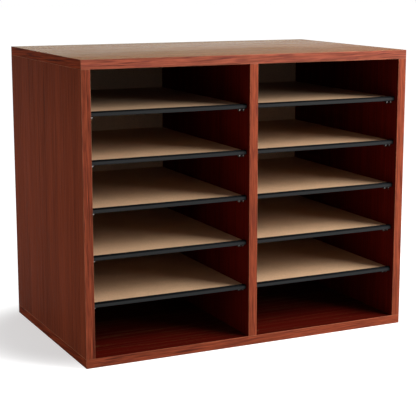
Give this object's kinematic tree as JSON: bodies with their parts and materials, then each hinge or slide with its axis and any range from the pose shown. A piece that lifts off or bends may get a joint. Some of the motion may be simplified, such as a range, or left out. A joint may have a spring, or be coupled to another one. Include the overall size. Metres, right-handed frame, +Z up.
{
  "type": "literature organizer",
  "caption": "Wood-laminate literature organizer with two columns of open compartments, formed by a centre divider and removable hardboard shelves on pins.",
  "frame": {"origin": "under the middle of the case, on the surface that it stands on", "axes": "+X to the right seen from the front, +Y to the back, +Z up; the open front faces -Y"},
  "size_m": [0.4952, 0.3048, 0.408],
  "materials": {
    "laminated_board": "satin cherry-red wood-grain laminate",
    "edge_band": "satin cherry-red wood-grain edge band",
    "hardboard": "plain brown hardboard",
    "shelf_board": "plain tan hardboard",
    "black_plastic": "satin black extruded plastic",
    "nickel": "nickel-plated steel",
    "dowel_wood": "bare beech",
    "nail_steel": "bright wire nails"
  },
  "bodies": {
    "case": {"top_panel": "laminated_board", "bottom_panel": "laminated_board", "left_side_panel": "laminated_board", "right_side_panel": "laminated_board", "centre_divider": "laminated_board", "back_panel": "hardboard", "top_panel_front_band": "edge_band", "top_panel_left_band": "edge_band", "top_panel_right_band": "edge_band", "bottom_panel_front_band": "edge_band", "bottom_panel_left_band": "edge_band", "bottom_panel_right_band": "edge_band", "left_side_front_band": "edge_band", "centre_divider_front_band": "edge_band", "right_side_front_band": "edge_band", "top_panel_dowels": "dowel_wood", "bottom_panel_dowels": "dowel_wood", "back_panel_nails": "nail_steel", "left_shelf_1_pins": "nickel", "left_shelf_2_pins": "nickel", "left_shelf_3_pins": "nickel", "left_shelf_4_pins": "nickel", "left_shelf_5_pins": "nickel", "right_shelf_1_pins": "nickel", "right_shelf_2_pins": "nickel", "right_shelf_3_pins": "nickel", "right_shelf_4_pins": "nickel", "right_shelf_5_pins": "nickel"},
    "left_shelf_1": {"left_shelf_1_board": "shelf_board", "left_shelf_1_molding": "black_plastic"},
    "left_shelf_2": {"left_shelf_2_board": "shelf_board", "left_shelf_2_molding": "black_plastic"},
    "left_shelf_3": {"left_shelf_3_board": "shelf_board", "left_shelf_3_molding": "black_plastic"},
    "left_shelf_4": {"left_shelf_4_board": "shelf_board", "left_shelf_4_molding": "black_plastic"},
    "left_shelf_5": {"left_shelf_5_board": "shelf_board", "left_shelf_5_molding": "black_plastic"},
    "right_shelf_1": {"right_shelf_1_board": "shelf_board", "right_shelf_1_molding": "black_plastic"},
    "right_shelf_2": {"right_shelf_2_board": "shelf_board", "right_shelf_2_molding": "black_plastic"},
    "right_shelf_3": {"right_shelf_3_board": "shelf_board", "right_shelf_3_molding": "black_plastic"},
    "right_shelf_4": {"right_shelf_4_board": "shelf_board", "right_shelf_4_molding": "black_plastic"},
    "right_shelf_5": {"right_shelf_5_board": "shelf_board", "right_shelf_5_molding": "black_plastic"}
  },
  "joints": [
    {"name": "left_shelf_1_slide", "type": "slide", "parent": "case", "child": "left_shelf_1", "axis": [0, -1, 0], "range_m": [0, 0.305]},
    {"name": "left_shelf_2_slide", "type": "slide", "parent": "case", "child": "left_shelf_2", "axis": [0, -1, 0], "range_m": [0, 0.305]},
    {"name": "left_shelf_3_slide", "type": "slide", "parent": "case", "child": "left_shelf_3", "axis": [0, -1, 0], "range_m": [0, 0.305]},
    {"name": "left_shelf_4_slide", "type": "slide", "parent": "case", "child": "left_shelf_4", "axis": [0, -1, 0], "range_m": [0, 0.305]},
    {"name": "left_shelf_5_slide", "type": "slide", "parent": "case", "child": "left_shelf_5", "axis": [0, -1, 0], "range_m": [0, 0.305]},
    {"name": "right_shelf_1_slide", "type": "slide", "parent": "case", "child": "right_shelf_1", "axis": [0, -1, 0], "range_m": [0, 0.305]},
    {"name": "right_shelf_2_slide", "type": "slide", "parent": "case", "child": "right_shelf_2", "axis": [0, -1, 0], "range_m": [0, 0.305]},
    {"name": "right_shelf_3_slide", "type": "slide", "parent": "case", "child": "right_shelf_3", "axis": [0, -1, 0], "range_m": [0, 0.305]},
    {"name": "right_shelf_4_slide", "type": "slide", "parent": "case", "child": "right_shelf_4", "axis": [0, -1, 0], "range_m": [0, 0.305]},
    {"name": "right_shelf_5_slide", "type": "slide", "parent": "case", "child": "right_shelf_5", "axis": [0, -1, 0], "range_m": [0, 0.305]}
  ]
}
